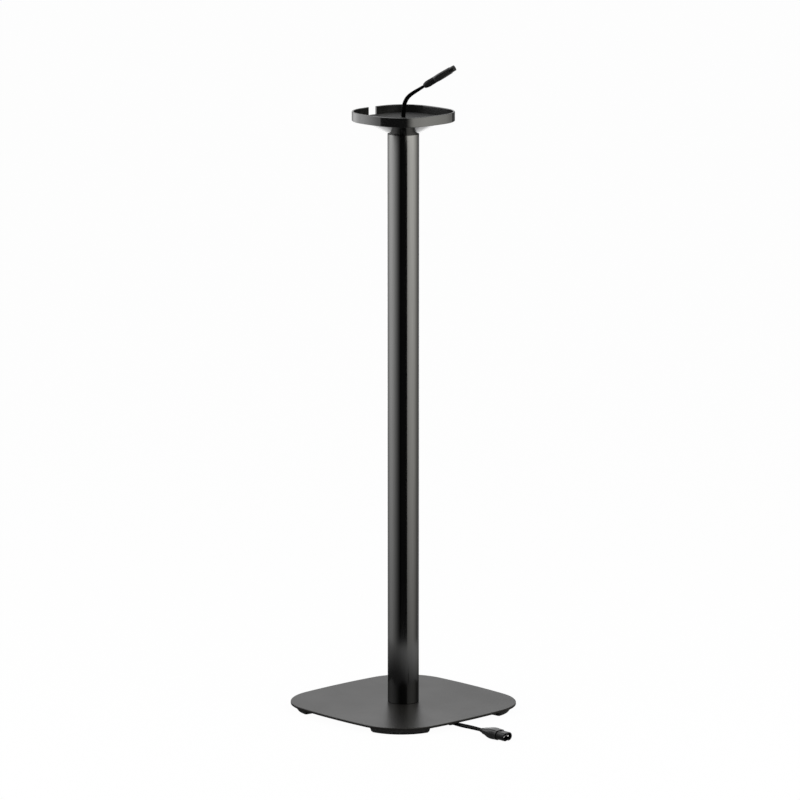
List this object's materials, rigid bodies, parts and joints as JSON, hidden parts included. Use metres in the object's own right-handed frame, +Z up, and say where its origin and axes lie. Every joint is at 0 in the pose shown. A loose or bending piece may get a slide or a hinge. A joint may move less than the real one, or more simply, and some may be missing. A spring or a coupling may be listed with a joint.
{
  "type": "speaker floor stand",
  "caption": "Floor stand for a compact speaker: rounded-square plate, round column, shallow slotted tray and a flat twin lead from a two-hole plug to an inline two-pin socket.",
  "frame": {"origin": "on the column's axis at floor level, under the middle of the base plate", "axes": "+Z up the column, -Y the front where the lead leaves the base, +Y the rear where the tray's rim is slotted"},
  "size_m": [0.2642, 0.3611, 0.8891],
  "materials": {
    "plate_coat": "satin powder coat",
    "foot_plastic": "matte moulded",
    "pad_rubber": "matte",
    "fastener_steel": "zinc plated",
    "trim_plastic": "matte moulded",
    "column_anodised": "semi-gloss black anodised",
    "cast_coat": "semi-gloss black coat",
    "mat_rubber": "matte",
    "lead_jacket": "semi-matte jacket",
    "connector_jacket": "soft moulded",
    "connector_insert": "semi-gloss",
    "contact_metal": "nickel plated"
  },
  "bodies": {
    "root": {"base_plate": "plate_coat", "foot_front_left": "foot_plastic", "foot_pad_front_left": "pad_rubber", "foot_front_right": "foot_plastic", "foot_pad_front_right": "pad_rubber", "foot_rear_left": "foot_plastic", "foot_pad_rear_left": "pad_rubber", "foot_rear_right": "foot_plastic", "foot_pad_rear_right": "pad_rubber", "foot_studs": "fastener_steel", "foot_nuts": "fastener_steel", "base_bushing": "trim_plastic", "column": "column_anodised", "column_base_screws": "fastener_steel", "support_cone": "cast_coat", "column_top_screws": "fastener_steel", "tray": "cast_coat", "tray_screws": "fastener_steel", "tray_pad": "mat_rubber", "tray_grommet": "trim_plastic", "column_lead": "lead_jacket", "lead_clip_inner": "trim_plastic", "lead_clip_edge": "trim_plastic", "top_lead": "lead_jacket", "plug_strain_relief": "connector_jacket", "plug_body": "connector_jacket", "plug_nose": "connector_insert", "plug_contacts": "contact_metal", "bottom_lead": "lead_jacket", "socket_strain_relief": "connector_jacket", "socket_body": "connector_jacket", "socket_shroud": "connector_insert", "socket_pins": "contact_metal"}
  },
  "joints": []
}
